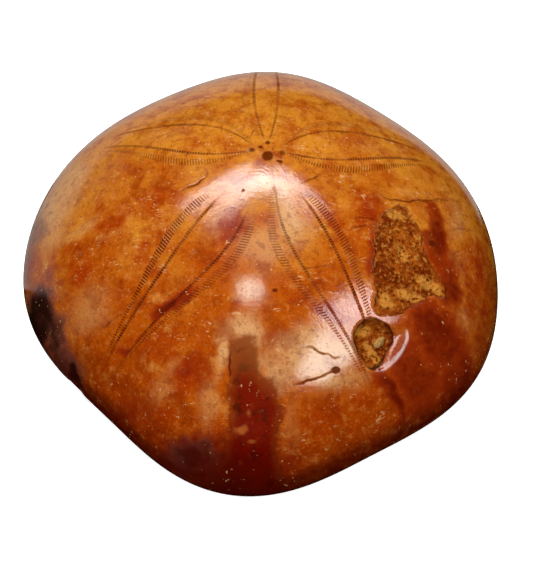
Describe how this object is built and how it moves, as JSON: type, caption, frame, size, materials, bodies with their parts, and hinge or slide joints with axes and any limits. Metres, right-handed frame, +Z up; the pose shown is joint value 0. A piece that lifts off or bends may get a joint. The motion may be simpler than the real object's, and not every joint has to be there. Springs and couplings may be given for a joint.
{
  "type": "fossil sand dollar",
  "caption": "Polished fossil sand dollar: a domed stone sea urchin shell with a five-petal star, a worn sandy patch and a base ground level to stand on.",
  "frame": {"origin": "on the ground base, under the middle of the stone's bounding box", "axes": "+Z up through the dome, +Y towards the end that led when the animal crawled, -Y towards the vent"},
  "size_m": [0.0918, 0.0942, 0.038],
  "materials": {
    "polished_fossil_calcite": "polished"
  },
  "bodies": {
    "root": {"sand_dollar": "polished_fossil_calcite"}
  },
  "joints": []
}
